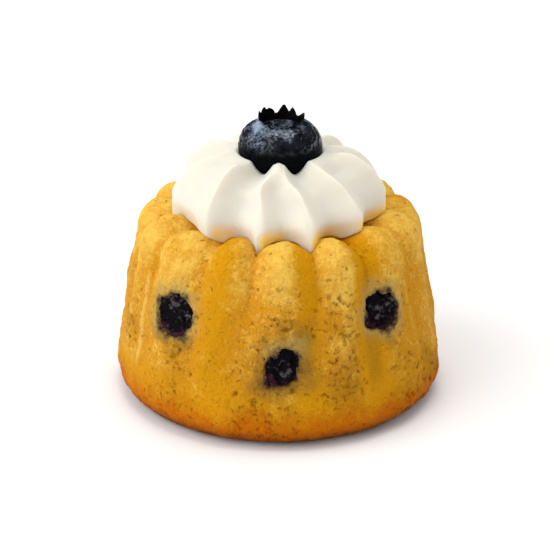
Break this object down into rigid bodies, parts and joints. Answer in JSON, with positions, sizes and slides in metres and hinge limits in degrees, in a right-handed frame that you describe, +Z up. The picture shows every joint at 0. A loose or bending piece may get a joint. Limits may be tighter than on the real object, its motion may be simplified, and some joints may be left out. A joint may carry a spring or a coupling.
{
  "type": "blueberry bun",
  "caption": "Small fluted sponge cake with blueberries baked into its side, a piped rosette of whipped cream and a whole blueberry on top.",
  "frame": {"origin": "middle of the flat underside", "axes": "+Z up, from the underside to the berry on top; -Y is the front, with the lowest of the baked berries"},
  "size_m": [0.07, 0.07, 0.0607],
  "materials": {
    "sponge": "baked golden crumb, porous, browner at the foot",
    "cream": "smooth whipped cream with a soft sheen",
    "berry": "waxy dark blue skin with a pale bloom",
    "baked_berry": "burst, wet, purple-black"
  },
  "bodies": {
    "root": {"cake": "sponge", "cream": "cream", "berry": "berry", "baked_berry_left": "baked_berry", "baked_berry_front": "baked_berry", "baked_berry_right": "baked_berry", "baked_berry_back_right": "baked_berry", "baked_berry_back": "baked_berry", "baked_berry_back_left": "baked_berry"}
  },
  "joints": []
}
